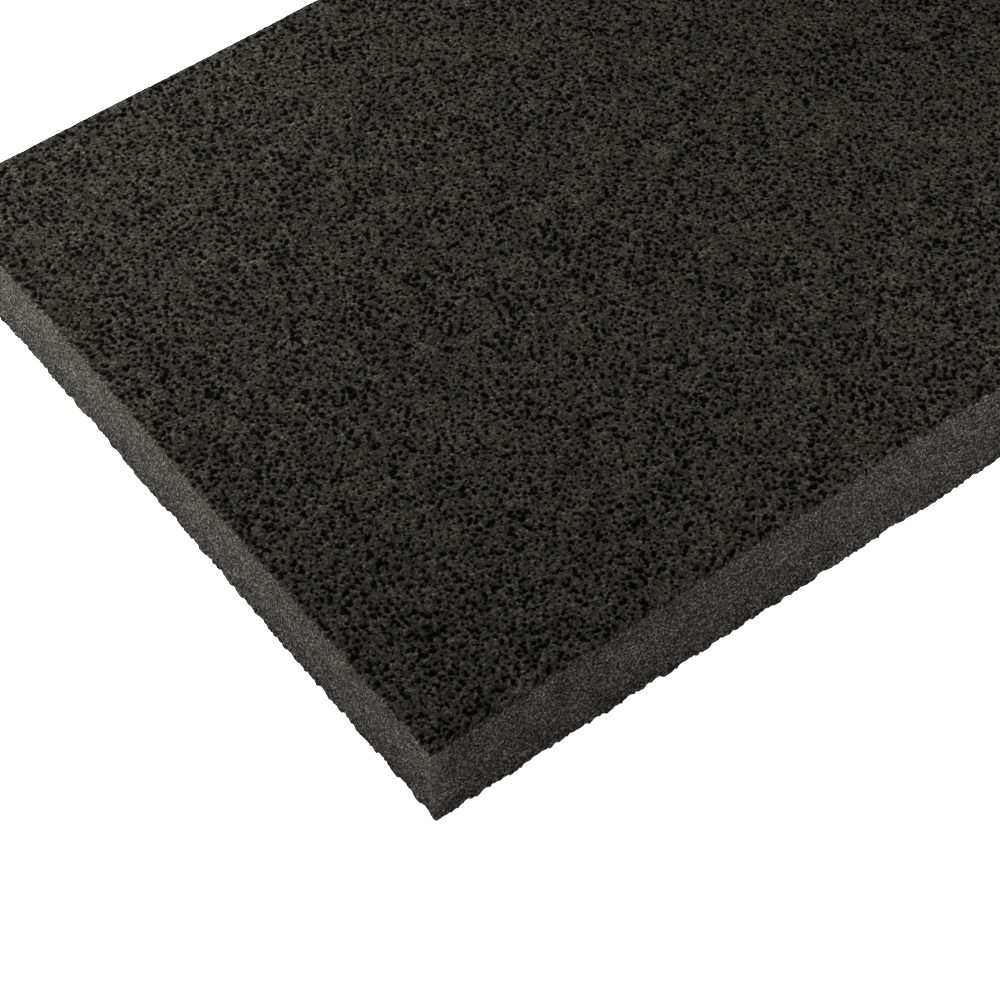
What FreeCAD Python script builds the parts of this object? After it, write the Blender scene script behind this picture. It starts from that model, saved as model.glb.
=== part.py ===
import FreeCAD, Part
import os

# A plain foam balance pad: a thick slab of fine-celled foam between two thin, coarser skins.
# Millimetres, +Z up. The origin is the middle of the underside, so the pad lies on Z = 0,
# with its long side along X and its short side along Y.

# Driving dimensions
LENGTH = 500.0  # along X
WIDTH = 410.0  # along Y
THICKNESS = 50.0  # along Z, both skins included
SKIN = 2.0  # thickness of each skin
CORNER_ROUND = 1.2  # radius of the four upright corners
RIM_ROUND = 1.0  # radius of the outer rim, above and below

CORE_HEIGHT = THICKNESS - 2 * SKIN
TOP_SKIN_BASE = THICKNESS - SKIN


def slab(base, height):
    """A layer of the pad, with its upright corners rounded."""
    corner = FreeCAD.Vector(-LENGTH / 2, -WIDTH / 2, base)
    block = Part.makeBox(LENGTH, WIDTH, height, corner)
    upright = [edge for edge in block.Edges if edge.BoundBox.ZLength > height / 2]
    return block.makeFillet(CORNER_ROUND, upright)


def soften_rim(layer, level):
    """Round the edge all the way around a layer's face at this height."""
    face = min(layer.Faces, key=lambda face: abs(face.CenterOfMass.z - level))
    return layer.makeFillet(RIM_ROUND, face.Edges)


def foam_core():
    """The cut foam block, which gives the pad its thickness and its four sides."""
    return slab(SKIN, CORE_HEIGHT)


def bottom_skin():
    """The pitted skin that lies on the floor."""
    return soften_rim(slab(0.0, SKIN), 0.0)


def top_skin():
    """The pitted skin that is stood on."""
    return soften_rim(slab(TOP_SKIN_BASE, SKIN), THICKNESS)


os.makedirs("parts", exist_ok=True)
for sub_part in (foam_core, bottom_skin, top_skin):
    sub_part().exportStep(f"parts/{sub_part.__name__}.step")
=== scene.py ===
import math

import bpy
import numpy as np
from mathutils import Matrix, Vector
from mathutils.geometry import delaunay_2d_cdt


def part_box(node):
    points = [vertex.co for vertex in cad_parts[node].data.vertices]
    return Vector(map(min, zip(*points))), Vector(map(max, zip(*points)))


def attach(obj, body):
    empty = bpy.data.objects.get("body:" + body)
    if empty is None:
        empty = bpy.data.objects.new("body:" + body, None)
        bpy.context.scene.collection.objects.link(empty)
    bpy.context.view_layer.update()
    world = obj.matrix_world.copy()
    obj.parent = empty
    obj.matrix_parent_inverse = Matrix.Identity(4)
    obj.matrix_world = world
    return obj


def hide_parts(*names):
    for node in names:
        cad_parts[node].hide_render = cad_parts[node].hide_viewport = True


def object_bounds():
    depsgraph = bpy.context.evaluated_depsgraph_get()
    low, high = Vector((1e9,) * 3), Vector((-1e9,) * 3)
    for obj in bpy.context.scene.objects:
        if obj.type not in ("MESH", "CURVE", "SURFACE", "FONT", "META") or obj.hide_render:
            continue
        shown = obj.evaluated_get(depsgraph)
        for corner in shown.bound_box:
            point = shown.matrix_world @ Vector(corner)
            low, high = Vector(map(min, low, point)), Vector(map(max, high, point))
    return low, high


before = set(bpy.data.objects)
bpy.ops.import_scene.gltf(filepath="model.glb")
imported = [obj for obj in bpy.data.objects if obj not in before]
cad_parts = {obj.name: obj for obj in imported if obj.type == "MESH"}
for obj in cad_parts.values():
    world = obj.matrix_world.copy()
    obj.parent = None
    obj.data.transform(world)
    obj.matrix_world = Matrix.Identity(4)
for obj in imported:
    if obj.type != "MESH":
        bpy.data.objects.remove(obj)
cad_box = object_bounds()

# Driving dimensions. Lengths are in metres. The pad's own size and its layers' heights come from the frame.

# The skins' open cells
CELL_PITCH = 0.0035  # distance between neighbouring cells in a row of the honeycomb that they lie on
ROW_PITCH = CELL_PITCH * math.sqrt(3) / 2  # distance between its rows
FIRST_CELL = 0.5  # how far outside the pad the honeycomb starts, over its pitch
CELL_STRAY = 0.42  # how far a cell strays from the honeycomb, over the pitch
SMALLEST_CELL = 0.00095  # radius of an open cell at its rim
LARGEST_CELL = 0.0017
SMALL_BIAS = 1.3  # above 1, small cells outnumber large ones
CELL_SIDES = 4  # points around an open cell's rim
SIDE_STRAY = 0.25  # how far those points stray around the rim, over their spacing
RIM_STRAY = 0.15  # how far they stray in or out, over the radius
CELL_SLOPE = 1.15  # depth of an open cell over its radius
CELL_REACH = range(-2, 3)  # the rows and columns around a point whose cells can reach it
CLUSTER_PITCH = 0.0075  # distance between clusters of larger cells
CLUSTER_SIZE = 0.4  # how much larger those cells are, over the whole range of sizes
CLOSED = 0.08  # share of the cells that are closed
CLOSED_APART = 0.20  # how much that share rises away from the clusters
LEAST_GAP = 0.0005  # points of a skin nearer to each other than this are merged
FINE_RELIEF = 0.00008  # unevenness of a skin's face from point to point
BROAD_RELIEF = 0.00012  # and in broad dips
RELIEF_PITCH = 0.012  # distance between those dips

# The outline, its rims and its unevenness
OUTLINE_STEP = 0.0012  # distance between neighbouring points of the outline
SIDE_STEP = 0.001  # height of one row of points on the cut sides
CORNER_ROUND = 0.0012  # radius of the upright corners
BORDER = 0.0026  # how far inside the outline a skin's flat face ends
RIM_STEPS = 3  # loops of points down a skin's rounded rim
TOP_RIM = (0.0022, 0.0014)  # how far in and how far down the top's rim is rounded
UNDER_RIM = (0.0005, 0.0005)
LEAN_START = 0.001  # how far the top of the -Y side is cut back at its -X end
LEAN_END = 0.0078  # and at its +X end
WAVE = 0.0005  # how far the sides wander
WAVE_PITCH = 0.09
FOOT = 0.0010  # how far the sides spread at the floor
FOOT_HEIGHT = 0.012
SMOOTH_GRAIN = 0.00008  # how far in the cut sides' points lie, on average, at the top
ROUGH_GRAIN = 0.00028  # and at the bottom
CORNER_REACH = 0.009  # how far from an upright corner the sides carry a painted highlight, and the lower edge's notches fade out
CORNER_FALL = 1.5  # above 1, the painted highlight fades fastest near the corner

# The torn lower edge
TORN_IN = 0.0016  # depth of the deepest notch
TORN_UP = 0.6  # how far a notch reaches up the side, over its depth
TORN_HEIGHT = 0.005  # height at which the notches have run out
USUAL_TEAR = 0.42  # depth of a usual notch, over the deepest
BROAD_TEAR = 0.38  # how much broad waves add to that or take away
BROAD_TEAR_PITCH = 0.008
SHORT_TEAR = 0.32  # and short ones
SHORT_TEAR_PITCH = 0.0032
RAGGED_TEAR = 0.28  # and each point by itself

# Colours. A grey is given for each value of a noise, and multiplied by a tint. The lightest greys are partly
# the grain's own tone and partly painted glints.
SKIN_GREYS = ((0.34, 0.0046), (0.52, 0.0116), (0.66, 0.0225), (0.80, 0.048))
SKIN_TINT = (1.0, 0.98, 0.77)
PIT_SHADE_COLOUR = (0.0005, 0.0005, 0.0004)  # painted shade inside the skins' open cells
CUT_GREYS = ((0.34, 0.0045), (0.50, 0.0192), (0.66, 0.064), (0.80, 0.14))
CUT_TINT = (1.0, 0.95, 0.81)
TORN_SHADE_COLOUR = (0.0030, 0.0028, 0.0024)  # painted shade inside the sides' torn cells
SPECULAR = 0.01  # foam has next to no shine
SKIN_ROUGHNESS = (0.95, 0.65)  # in the dark of the grain and in the light of it
CUT_ROUGHNESS = (0.95, 0.7)

# Pitches of the materials' noises
SKIN_GRAIN = 0.0013
SKIN_DIMPLE = 0.0012
SKIN_PATCH = 0.012
BLOTCH = 0.0019
CUT_GRAIN = 0.0011
CUT_CELL = 0.0018
CUT_PATCH = 0.010

# How the noises act
NOISE_SPREAD = (0.3, 0.7)  # nearly all of a noise's values lie between these
PATCH_TONES = (0.75, 1.25)  # brightness of the darkest and the lightest patch
OPEN_EDGE = (0.02, 0.34)  # how deep into a cell its painted shade starts and is full, over the cell's depth
OPEN_BLOTCH = 0.9  # how strongly blotches shift that edge
RIM_EDGE = (0.2, 0.8)  # how far around a skin's rim the cut foam's look starts and is full
RIM_BLOTCH = 1.6  # how strongly blotches shift that edge
CELL_WIDTH = 0.65  # width over height of the cut sides' cells, which grew upwards
CELL_LEAN = (0.22, 0.36)  # how far those cells lean towards -X and -Y, over their height
LOW_HIGHLIGHT = 0.5  # painted highlight of an upright corner at the floor, over that at the top
HIGHLIGHT_CALM = 0.6  # how much of the grain is gone where the painted highlight is full
FLOOR_SHADE_TONE = 0.87  # brightness of the sides at the floor, darkened there by a painted shade
FLOOR_SHADE_HEIGHT = 0.45  # height at which that painted shade has faded and they reach full brightness, over the pad's
TORN_CELLS = (0.40, 0.12)  # how wide a cell is torn at the floor and higher up, over the pitch of the cells
TORN_CELLS_HEIGHT = 0.6  # height at which the second of those is reached, over the pad's
TORN_PATCH = 0.5  # how strongly patches shift that height, over the pad's
TORN_GRAIN = 0.5  # how strongly the grain shifts a torn cell's edge
TORN_EDGE = (-0.05, 0.12)  # how far inside that edge the painted shade starts and is full

# Camera, light and floor
CAMERA_AZIMUTH = -35.08  # degrees, as are the next two
CAMERA_ELEVATION = 52.05
CAMERA_ROLL = -2.0
CAMERA_DISTANCE = 1.2888  # from the pad's lower (-X, -Y) corner, along the view
CORNER_LEFT = 0.02745  # how far left of the view's centre that corner is
CORNER_BELOW = 0.13807  # and how far below
FOCAL_LENGTH = 108  # millimetres, as is the next
SENSOR_WIDTH = 36
NEAREST_SEEN = 0.05
FURTHEST_SEEN = 50
SKY = 0.5  # strength of the light from all around
LAMPS = (  # name, place, watts, width
    ("left", (-0.60, 0.15, 0.30), 3.8, 0.3),
    ("back", (-0.20, 0.45, 0.35), 11, 0.4),
    ("right", (0.20, -0.25, 0.35), 3.4, 0.3),
)
WHITE = (1, 1, 1, 1)
FLOOR_HALF = 12.0  # half the floor's width
FLOOR_COLOUR = (0.8, 0.8, 0.8, 1)
FLOOR_ROUGHNESS = 0.9
FLOOR_GLOW = 0.8  # light of the floor's own, which hides the pad's shadow

NOISE = "ShaderNodeTexNoise"
VORONOI = "ShaderNodeTexVoronoi"
FROM_NONE_TO_ALL = (0.0, 1.0)
TABLE_SIDE = 256  # rows and columns in a noise's table of random heights
TINY = 1e-9  # keeps a division from being by zero
MERGED_WITHIN = 1e-7  # distance within which the triangulation takes two points for one
SEED = 7  # each random draw adds a number of its own to this

low, high = (np.array(corner) for corner in cad_box)
size = high - low
middle = (low + high) / 2
core_low, core_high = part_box("foam_core")
top_low, top_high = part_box("top_skin")
bottom_low, bottom_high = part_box("bottom_skin")


# ---- Smooth noise and the pad's outline


def smooth_noise(x, y, pitch, seed):
    """Random hills and dips from -1 to 1, about two pitches apart, at each point x, y."""
    table = np.random.default_rng(seed).uniform(-1, 1, (TABLE_SIDE, TABLE_SIDE))
    u = x / pitch
    v = y / pitch
    column = np.floor(u).astype(int)
    row = np.floor(v).astype(int)
    across = u - column
    along = v - row
    across = across * across * (3 - 2 * across)
    along = along * along * (3 - 2 * along)

    def at(i, j):
        return table[(row + j) % TABLE_SIDE, (column + i) % TABLE_SIDE]

    near = at(0, 0) * (1 - across) + at(1, 0) * across
    far = at(0, 1) * (1 - across) + at(1, 1) * across
    return near * (1 - along) + far * along


def rectangle(inset):
    """Points x, y around the pad's plan, counter-clockwise, this far inside it."""
    columns = round(size[0] / OUTLINE_STEP)
    rows = round(size[1] / OUTLINE_STEP)
    half_x, half_y = size[:2] / 2 - inset
    along_x = np.linspace(-half_x, half_x, columns, endpoint=False)
    along_y = np.linspace(-half_y, half_y, rows, endpoint=False)
    front = np.stack([along_x, np.full(columns, -half_y)], axis=1)
    right = np.stack([np.full(rows, half_x), along_y], axis=1)
    return middle[:2] + np.concatenate([front, right, -front, -right])


def outline(inset):
    """The rectangle with its four corners rounded."""
    points = rectangle(inset) - middle[:2]
    reach = size[:2] / 2 - inset - CORNER_ROUND
    past = np.maximum(np.abs(points) - reach, 0)
    length = np.hypot(*past.T)
    in_corner = past.min(axis=1) > 0
    shrink = np.where(in_corner, past.max(axis=1) / np.maximum(length, TINY), 1)
    return middle[:2] + np.sign(points) * (np.minimum(np.abs(points), reach) + past * shrink[:, None])


def settled(points):
    """Points x, y, z moved to an uneven pad's shape: a leaning cut, slight waves and a spread foot."""
    x, y, z = points.T
    along = (x - low[0]) / size[0]
    nearness = (high[1] - y) / size[1]
    height = (z - low[2]) / size[2]
    lean = (LEAN_START + (LEAN_END - LEAN_START) * along) * height * nearness
    wave_x = WAVE * smooth_noise(y, z, WAVE_PITCH, SEED + 1)
    wave_y = WAVE * smooth_noise(x, z, WAVE_PITCH, SEED + 2)
    foot = 2 * FOOT * np.clip(1 - (z - low[2]) / FOOT_HEIGHT, 0, 1) ** 2
    spread_x = foot * (x - middle[0]) / size[0]
    spread_y = foot * (y - middle[1]) / size[1]
    return np.stack([x + wave_x + spread_x, y + wave_y + spread_y + lean, z], axis=1)


def plan_at(inset):
    """Points x, y of a loop this far inside the outline, given as one number or as one for each point."""
    outer = outline(0)
    share = np.broadcast_to(np.asarray(inset) / BORDER, len(outer))[:, None]
    return outer + (outline(BORDER) - outer) * share


def loop_at(plan, z):
    """A loop of settled points over this plan, at a height given as one number or as one for each point."""
    return settled(np.column_stack([plan, np.broadcast_to(z, len(plan))]))


def corner_nearness(plan):
    """How near each point x, y is to an upright corner: 1 at the corner, falling to 0 a set reach away; it
    drives the painted corner highlight.
    """
    away = (size[:2] / 2 - np.abs(plan - middle[:2])).max(axis=1)
    return np.clip(1 - away / CORNER_REACH, 0, 1) ** CORNER_FALL


def torn_in(z):
    """How far in the lower edge is torn at each point around it, at one height or at one for each point."""
    plan = plan_at(0)
    along = np.arange(len(plan)) * OUTLINE_STEP
    broad = smooth_noise(along, 0 * along, BROAD_TEAR_PITCH, SEED + 3)
    short = smooth_noise(along, 0 * along, SHORT_TEAR_PITCH, SEED + 4)
    ragged = np.random.default_rng(SEED + 5).uniform(-1, 1, len(plan))
    notch = USUAL_TEAR + BROAD_TEAR * broad + SHORT_TEAR * short + RAGGED_TEAR * ragged
    notch = np.clip(notch, 0, 1) * (1 - corner_nearness(plan))
    return TORN_IN * notch * np.clip(1 - (z - low[2]) / TORN_HEIGHT, 0, 1)


# ---- Open cells


def scatter_cells(seed):
    """A skin's open cells: the x, y and radius of each, by row and column. A closed one's radius is 0."""
    random = np.random.default_rng(seed)
    columns = round(size[0] / CELL_PITCH) + 2
    rows = round(size[1] / ROW_PITCH) + 2
    column, row = np.meshgrid(np.arange(columns), np.arange(rows))
    stray = random.uniform(-CELL_STRAY, CELL_STRAY, (2, rows, columns)) * CELL_PITCH
    stagger = (row % 2 - 0.5) / 2
    x = low[0] + (column - FIRST_CELL + stagger) * CELL_PITCH + stray[0]
    y = low[1] + (row - FIRST_CELL) * ROW_PITCH + stray[1]
    clusters = smooth_noise(x, y, CLUSTER_PITCH, seed + 1)
    wanted = random.random(x.shape) ** SMALL_BIAS + CLUSTER_SIZE * clusters
    radius = SMALLEST_CELL + (LARGEST_CELL - SMALLEST_CELL) * np.clip(wanted, 0, 1)
    closed = random.random(x.shape) < CLOSED - CLOSED_APART * clusters
    return x, y, np.where(closed, 0.0, radius)


def depth_in_cells(points, cells):
    """How far each point x, y lies below the skin's face, and the same as a share of its cell's depth."""
    x, y, radius = cells
    rows, columns = x.shape
    row = np.rint((points[:, 1] - low[1]) / ROW_PITCH + FIRST_CELL).astype(int)
    column = np.rint((points[:, 0] - low[0]) / CELL_PITCH + FIRST_CELL).astype(int)
    depth = np.zeros(len(points))
    share = np.zeros(len(points))
    for down in CELL_REACH:
        for across in CELL_REACH:
            there = np.clip(row + down, 0, rows - 1), np.clip(column + across, 0, columns - 1)
            reach = np.maximum(radius[there], TINY)
            away = np.hypot(points[:, 0] - x[there], points[:, 1] - y[there]) / reach
            depth = np.maximum(depth, (1 - away) * reach * CELL_SLOPE)
            share = np.maximum(share, 1 - away)
    return depth, share


def skin_points(cells, border, seed):
    """The points x, y that a skin's face needs: its border, each cell's centre and each cell's rim."""
    random = np.random.default_rng(seed)
    x, y, radius = (values[cells[2] > 0] for values in cells)
    turn = random.uniform(0, 2 * math.pi, len(x))
    rims = []
    for side in range(CELL_SIDES):
        angle = turn + (side + random.uniform(-SIDE_STRAY, SIDE_STRAY, len(x))) * 2 * math.pi / CELL_SIDES
        reach = radius * random.uniform(1 - RIM_STRAY, 1 + RIM_STRAY, len(x))
        rims.append(np.stack([x + reach * np.cos(angle), y + reach * np.sin(angle)], axis=1))
    inner = np.concatenate([np.stack([x, y], axis=1), *rims])
    room = size[:2] / 2 - BORDER - LEAST_GAP
    inner = inner[(np.abs(inner - middle[:2]) < room).all(axis=1)]
    _, kept = np.unique(np.floor(inner / LEAST_GAP), axis=0, return_index=True)
    return np.concatenate([border, inner[np.sort(kept)]])


# ---- Meshes


def band(lower, upper):
    """Triangles between two closed loops of point numbers, facing away from the pad's middle."""
    lower_next = np.roll(lower, -1)
    upper_next = np.roll(upper, -1)
    first = np.stack([lower, lower_next, upper_next], axis=1)
    second = np.stack([lower, upper_next, upper], axis=1)
    return np.concatenate([first, second])


def fan(loop, centre):
    """Triangles that close a loop with a flat cap, facing up."""
    return np.stack([loop, np.roll(loop, -1), np.full(len(loop), centre)], axis=1)


def make_object(name, points, triangles, sharp_points, values):
    """A closed, smooth-shaded object, with hard edges between sharp points and named values at all points."""
    mesh = bpy.data.meshes.new(name)
    mesh.from_pydata(points.tolist(), [], triangles.tolist())
    mesh.shade_smooth()
    is_sharp = np.zeros(len(points), bool)
    is_sharp[sharp_points] = True
    ends = np.empty(len(mesh.edges) * 2, int)
    mesh.edges.foreach_get("vertices", ends)
    sharp_edges = mesh.attributes.new("sharp_edge", "BOOLEAN", "EDGE")
    sharp_edges.data.foreach_set("value", is_sharp[ends.reshape(-1, 2)].all(axis=1))
    for title, value in values.items():
        mesh.attributes.new(title, "FLOAT", "POINT").data.foreach_set("value", value.astype(np.float32))
    made = bpy.data.objects.new(name, mesh)
    bpy.context.scene.collection.objects.link(made)
    return made


def stands_for(made, node):
    """Ties a foam piece to the CAD model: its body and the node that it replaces."""
    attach(made, "root")
    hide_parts(node)


def skin_face(outer_z, up, cells, seed):
    """A skin's pitted face: its points, how deep in a cell each one is, their plan and the triangles."""
    random = np.random.default_rng(seed)
    border = rectangle(BORDER)
    plan = skin_points(cells, border, seed + 20)
    flat = [Vector(point) for point in plan]
    triangles = np.array(delaunay_2d_cdt(flat, [], [], 0, MERGED_WITHIN)[2])
    plan[: len(border)] = plan_at(BORDER)
    depth, pit = depth_in_cells(plan, cells)
    dips = 1 + smooth_noise(*plan.T, RELIEF_PITCH, seed + 3)
    relief = FINE_RELIEF * random.random(len(plan)) + BROAD_RELIEF * dips
    return loop_at(plan, outer_z - up * (depth + relief)), pit, plan, triangles


def make_skin(name, node, outer_z, seam_z, rim, seed):
    """One pitted skin: open cells on its outer face, a worn and notched rim, and a flat face on the core."""
    up = math.copysign(1, outer_z - seam_z)
    cells = scatter_cells(seed + 10)
    face, pit, plan, triangles = skin_face(outer_z, up, cells, seed)
    count = len(rectangle(BORDER))
    layers = [face]
    pits = [pit]
    rims = [np.zeros(len(plan))]
    corner_highlights = [corner_nearness(plan)]

    for step in range(1, RIM_STEPS + 1):
        turn = step / RIM_STEPS * math.pi / 2
        drop = rim[1] * (1 - math.cos(turn)) + TORN_UP * torn_in(outer_z) * math.sin(turn)
        plan = plan_at(rim[0] * (1 - math.sin(turn)) + torn_in(outer_z - up * drop))
        depth, pit = depth_in_cells(plan, cells)
        shallow = 1 - step / RIM_STEPS
        layers.append(loop_at(plan, outer_z - up * (drop + depth * shallow)))
        pits.append(pit * shallow)
        rims.append(np.full(count, step / RIM_STEPS))
        corner_highlights.append(corner_nearness(plan))
    seam = plan_at(torn_in(seam_z))
    layers.append(loop_at(seam, seam_z))
    layers.append(np.array([[middle[0], middle[1], seam_z]]))
    pits.append(np.zeros(count + 1))
    rims.append(np.ones(count + 1))
    corner_highlights.append(np.append(corner_nearness(seam), 0))

    points = np.concatenate(layers)
    down_the_rim = [len(face) + count * step + np.arange(count) for step in range(RIM_STEPS + 1)]
    loops = [np.arange(count), *down_the_rim]
    sides = [band(lower, upper) for upper, lower in zip(loops, loops[1:])]
    cap = fan(loops[-1], len(points) - 1)[:, ::-1]
    faces = np.concatenate([triangles, *sides, cap])
    if up < 0:
        faces = faces[:, ::-1]
    values = {"pit": np.concatenate(pits), "rim": np.concatenate(rims), "corner_highlight": np.concatenate(corner_highlights)}
    made = make_object(name, points, faces, loops[-1], values)
    is_cut = np.zeros(len(faces), np.int32)
    is_cut[len(triangles) + 2 * count * RIM_STEPS :] = 1
    made.data.materials.append(skin_look)
    made.data.materials.append(cut_look)
    made.data.polygons.foreach_set("material_index", is_cut)
    stands_for(made, node)


def make_core():
    """The cut foam block, whose four sides carry the saw's fine, uneven grain, roughest near the floor."""
    random = np.random.default_rng(SEED + 50)
    rows = round((core_high[2] - core_low[2]) / SIDE_STEP)
    heights = np.linspace(core_low[2], core_high[2], rows + 1)
    count = len(rectangle(0))
    loops = []
    for row, z in enumerate(heights):
        rough = ROUGH_GRAIN + (SMOOTH_GRAIN - ROUGH_GRAIN) * row / rows
        inset = np.abs(random.normal(0, rough, count)) if 0 < row < rows else 0
        loops.append(loop_at(plan_at(inset + torn_in(z)), z))
    centres = [[middle[0], middle[1], z] for z in (heights[0], heights[-1])]
    points = np.concatenate([*loops, centres])
    numbers = [count * row + np.arange(count) for row in range(rows + 1)]
    sides = [band(numbers[row], numbers[row + 1]) for row in range(rows)]
    caps = [fan(numbers[0], len(points) - 2)[:, ::-1], fan(numbers[-1], len(points) - 1)]
    corner_highlight = np.append(np.tile(corner_nearness(plan_at(0)), rows + 1), [0, 0])
    end_loops = np.concatenate([numbers[0], numbers[-1]])
    made = make_object("foam_block", points, np.concatenate([*sides, *caps]), end_loops, {"corner_highlight": corner_highlight})
    made.data.materials.append(cut_look)
    stands_for(made, "foam_core")


# ---- Materials


def math_node(tree, operation, *values):
    """Values, each a socket or a number, put through a maths operation."""
    node = tree.nodes.new("ShaderNodeMath")
    node.operation = operation
    for socket, value in zip(node.inputs, values):
        if isinstance(value, bpy.types.NodeSocket):
            tree.links.new(value, socket)
        else:
            socket.default_value = value
    return node.outputs[0]


def ramp(tree, factor, stops, tint):
    """A colour ramp over factor, from (place, grey) stops and one tint for all of them."""
    node = tree.nodes.new("ShaderNodeValToRGB")
    elements = node.color_ramp.elements
    while len(elements) < len(stops):
        elements.new(0.5)
    for element, (place, grey) in zip(elements, stops):
        element.position = place
        element.color = (*(grey * share for share in tint), 1)
    tree.links.new(factor, node.inputs[0])
    return node.outputs[0]


def stretched(tree, factor, given, wanted):
    """factor moved from one (start, end) range to another, and held at the ends."""
    node = tree.nodes.new("ShaderNodeMapRange")
    for socket, value in zip(node.inputs[1:5], (*given, *wanted)):
        socket.default_value = value
    tree.links.new(factor, node.inputs[0])
    return node.outputs[0]


def grain(tree, place, kind, pitch, detail):
    """Noise or Voronoi distance with features of this pitch."""
    node = tree.nodes.new(kind)
    node.inputs["Scale"].default_value = 1 / pitch
    node.inputs["Detail"].default_value = detail
    tree.links.new(place, node.inputs["Vector"])
    return node.outputs["Distance" if kind == VORONOI else 0]


def mixed(tree, factor, first, second):
    """A colour between first and second, each a socket or a colour, by a socket."""
    node = tree.nodes.new("ShaderNodeMix")
    node.data_type = "RGBA"
    tree.links.new(factor, node.inputs[0])
    for socket, value in zip(node.inputs[6:8], (first, second)):
        if isinstance(value, bpy.types.NodeSocket):
            tree.links.new(value, socket)
        else:
            socket.default_value = (*value, 1)
    return node.outputs[2]


def bumped(tree, height, strength, distance, before=None):
    """The surface's normal, pushed by a height."""
    node = tree.nodes.new("ShaderNodeBump")
    node.inputs["Strength"].default_value = strength
    node.inputs["Distance"].default_value = distance
    tree.links.new(height, node.inputs["Height"])
    if before is not None:
        tree.links.new(before, node.inputs["Normal"])
    return node.outputs[0]


def attribute(tree, name):
    """A value that the mesh carries at its points."""
    node = tree.nodes.new("ShaderNodeAttribute")
    node.attribute_name = name
    return node.outputs["Fac"]


def scaled(tree, vector, factor):
    """A colour or a vector, given as a socket or as three numbers, times a factor."""
    node = tree.nodes.new("ShaderNodeVectorMath")
    node.operation = "SCALE"
    if isinstance(vector, bpy.types.NodeSocket):
        tree.links.new(vector, node.inputs[0])
    else:
        node.inputs[0].default_value = vector
    tree.links.new(factor, node.inputs["Scale"])
    return node.outputs[0]


def shifted(tree, value, noise, amount):
    """A value moved up and down by a noise around 0.5."""
    return math_node(tree, "MULTIPLY_ADD", math_node(tree, "SUBTRACT", noise, 0.5), amount, value)


def calmed(tree, noise, amount):
    """A noise around 0.5 with its ups and downs made smaller by a share."""
    return math_node(tree, "MULTIPLY_ADD", math_node(tree, "SUBTRACT", 0.5, noise), amount, noise)


def new_material(name):
    """An empty matt material, with its shader, its tree and the place of each point in metres."""
    material = bpy.data.materials.new(name)
    material.use_nodes = True
    tree = material.node_tree
    shader = tree.nodes["Principled BSDF"]
    shader.inputs["Specular IOR Level"].default_value = SPECULAR
    place = tree.nodes.new("ShaderNodeTexCoord").outputs["Object"]
    return material, tree, shader, place


def along_cells(tree, place, height):
    """Each point's place, changed so that a noise over it has tall, leaning features."""
    total = tree.nodes.new("ShaderNodeVectorMath")
    tree.links.new(place, total.inputs[0])
    tree.links.new(scaled(tree, (*CELL_LEAN, CELL_WIDTH - 1), height), total.inputs[1])
    return total.outputs[0]


def cut_colour(tree, fine):
    """The pale grain of cut foam, with a few painted glints in its lightest greys."""
    return ramp(tree, fine, CUT_GREYS, CUT_TINT)


def pitted_foam():
    """Charcoal foam skin: open cells darkened with painted shade in a lighter matrix, turning into cut foam
    around the rim.
    """
    material, tree, shader, place = new_material("pitted_foam")
    pit = attribute(tree, "pit")
    rim = attribute(tree, "rim")
    fine = grain(tree, place, NOISE, SKIN_GRAIN, detail=1.5)
    dimple = grain(tree, place, VORONOI, SKIN_DIMPLE, detail=2.0)
    blotch = grain(tree, place, NOISE, BLOTCH, detail=1.5)
    patch = grain(tree, place, NOISE, SKIN_PATCH, detail=2.0)
    # Painted shade in the open cells, following their depth; the same mask dents the bump.
    pit_shade = stretched(tree, shifted(tree, pit, blotch, OPEN_BLOTCH), OPEN_EDGE, FROM_NONE_TO_ALL)
    tone = stretched(tree, patch, NOISE_SPREAD, PATCH_TONES)
    matrix = scaled(tree, ramp(tree, fine, SKIN_GREYS, SKIN_TINT), tone)
    turned = stretched(tree, shifted(tree, rim, blotch, RIM_BLOTCH), RIM_EDGE, FROM_NONE_TO_ALL)
    surface = mixed(tree, turned, matrix, cut_colour(tree, fine))
    tree.links.new(mixed(tree, pit_shade, surface, PIT_SHADE_COLOUR), shader.inputs["Base Color"])
    tree.links.new(stretched(tree, fine, NOISE_SPREAD, SKIN_ROUGHNESS), shader.inputs["Roughness"])
    hollow = math_node(tree, "MULTIPLY", pit_shade, -1.0)
    normal = bumped(tree, hollow, strength=0.8, distance=0.0006)
    normal = bumped(tree, dimple, strength=0.3, distance=0.0004, before=normal)
    normal = bumped(tree, fine, strength=0.35, distance=0.0004, before=normal)
    tree.links.new(normal, shader.inputs["Normal"])
    return material


def torn_cells(tree, height, patch, fine, cell):
    """Where the sides' cells are torn open: more and wider towards the floor."""
    ragged_height = shifted(tree, height, patch, size[2] * TORN_PATCH)
    reach = stretched(tree, ragged_height, (0.0, size[2] * TORN_CELLS_HEIGHT), TORN_CELLS)
    inside = math_node(tree, "SUBTRACT", shifted(tree, reach, fine, TORN_GRAIN), cell)
    return stretched(tree, inside, TORN_EDGE, FROM_NONE_TO_ALL)


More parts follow.
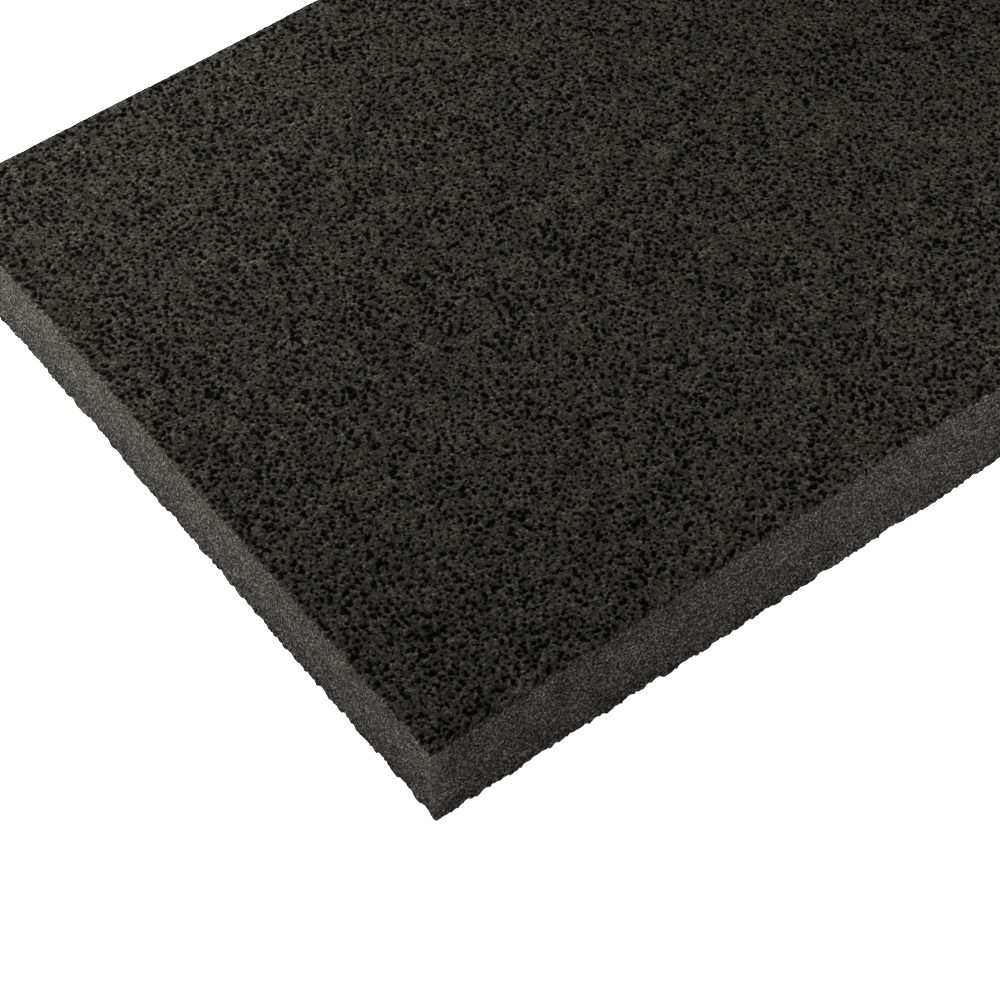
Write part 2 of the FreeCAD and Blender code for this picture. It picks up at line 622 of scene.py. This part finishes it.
def cut_foam():
    """The sawn sides: fine pale grain, with torn cells towards the floor filled with painted shade, a painted
    shade darkening the lowest part, and a painted highlight paling the upright corners.
    """
    material, tree, shader, place = new_material("cut_foam")
    split = tree.nodes.new("ShaderNodeSeparateXYZ")
    tree.links.new(place, split.inputs[0])
    height = split.outputs["Z"]
    grown = along_cells(tree, place, height)
    fine = grain(tree, grown, NOISE, CUT_GRAIN, detail=2.0)
    cell = grain(tree, grown, VORONOI, CUT_CELL, detail=0.0)
    patch = grain(tree, place, NOISE, CUT_PATCH, detail=2.0)
    # Painted highlight along the upright corners, weaker at the floor than at the top; it also calms the
    # grain there.
    highlight_there = stretched(tree, height, (0.0, size[2]), (LOW_HIGHLIGHT, 1.0))
    corner_highlight = math_node(tree, "MULTIPLY", attribute(tree, "corner_highlight"), highlight_there)
    fine = calmed(tree, fine, math_node(tree, "MULTIPLY", corner_highlight, HIGHLIGHT_CALM))
    tone = math_node(tree, "ADD", stretched(tree, patch, NOISE_SPREAD, PATCH_TONES), corner_highlight)
    # Painted shade: the sides darken towards the floor.
    floor_shade = stretched(tree, height, (0.0, size[2] * FLOOR_SHADE_HEIGHT), (FLOOR_SHADE_TONE, 1.0))
    tone = math_node(tree, "MULTIPLY", tone, floor_shade)
    torn = torn_cells(tree, height, patch, fine, cell)
    # Painted shade fills the torn cells.
    colour = mixed(tree, torn, scaled(tree, cut_colour(tree, fine), tone), TORN_SHADE_COLOUR)
    tree.links.new(colour, shader.inputs["Base Color"])
    tree.links.new(stretched(tree, fine, NOISE_SPREAD, CUT_ROUGHNESS), shader.inputs["Roughness"])
    hollow = math_node(tree, "MULTIPLY", torn, -1.0)
    normal = bumped(tree, hollow, strength=0.5, distance=0.0005)
    normal = bumped(tree, fine, strength=0.35, distance=0.0004, before=normal)
    tree.links.new(normal, shader.inputs["Normal"])
    return material


# ---- Camera, light and floor


def make_camera():
    """The camera: above the pad's (-X, -Y) corner, which it sees low in the picture."""
    azimuth = math.radians(CAMERA_AZIMUTH)
    elevation = math.radians(CAMERA_ELEVATION)
    roll = math.radians(CAMERA_ROLL)
    outward = math.cos(elevation)
    back = Vector((math.sin(azimuth) * outward, -math.cos(azimuth) * outward, math.sin(elevation)))
    level = Vector((math.cos(azimuth), math.sin(azimuth), 0))
    upright = back.cross(level)
    right = level * math.cos(roll) + upright * math.sin(roll)
    up = upright * math.cos(roll) - level * math.sin(roll)
    data = bpy.data.cameras.new("camera")
    data.lens = FOCAL_LENGTH
    data.sensor_width = SENSOR_WIDTH
    data.clip_start = NEAREST_SEEN
    data.clip_end = FURTHEST_SEEN
    camera = bpy.data.objects.new("camera", data)
    bpy.context.scene.collection.objects.link(camera)
    place = Vector(low) + back * CAMERA_DISTANCE + right * CORNER_LEFT + up * CORNER_BELOW
    turned = Matrix((right, up, back)).transposed().to_4x4()
    camera.matrix_world = Matrix.Translation(place) @ turned
    bpy.context.scene.camera = camera


def make_floor():
    """A plain white floor, level with the pad's underside."""
    signs = ((-1, -1), (1, -1), (1, 1), (-1, 1))
    corners = [(x * FLOOR_HALF, y * FLOOR_HALF, low[2]) for x, y in signs]
    mesh = bpy.data.meshes.new("floor")
    mesh.from_pydata(corners, [], [(0, 1, 2, 3)])
    floor = bpy.data.objects.new("floor", mesh)
    bpy.context.scene.collection.objects.link(floor)
    material = bpy.data.materials.new("floor_white")
    material.use_nodes = True
    shader = material.node_tree.nodes["Principled BSDF"]
    shader.inputs["Base Color"].default_value = FLOOR_COLOUR
    shader.inputs["Roughness"].default_value = FLOOR_ROUGHNESS
    shader.inputs["Emission Color"].default_value = WHITE
    shader.inputs["Emission Strength"].default_value = FLOOR_GLOW
    mesh.materials.append(material)


def add_lamp(name, place, energy, width):
    """A broad soft lamp at this place, facing the pad's middle."""
    data = bpy.data.lights.new(name, "AREA")
    data.energy = energy
    data.size = width
    lamp = bpy.data.objects.new(name, data)
    lamp.location = place
    lamp.rotation_mode = "QUATERNION"
    lamp.rotation_quaternion = (Vector(place) - Vector(middle)).to_track_quat("Z", "Y")
    bpy.context.scene.collection.objects.link(lamp)


def make_light():
    """A pale room, with a strong soft lamp behind the pad and weaker ones to its left and right."""
    world = bpy.data.worlds.new("studio")
    world.use_nodes = True
    background = world.node_tree.nodes["Background"]
    background.inputs["Color"].default_value = WHITE
    background.inputs["Strength"].default_value = SKY
    bpy.context.scene.world = world
    for lamp in LAMPS:
        add_lamp(*lamp)


bpy.context.scene.view_settings.view_transform = "Standard"
make_camera()
make_floor()
make_light()
skin_look = pitted_foam()
cut_look = cut_foam()
make_core()
make_skin("top_surface", "top_skin", top_high[2], top_low[2], TOP_RIM, SEED + 100)
make_skin("under_surface", "bottom_skin", bottom_low[2], bottom_high[2], UNDER_RIM, SEED + 200)
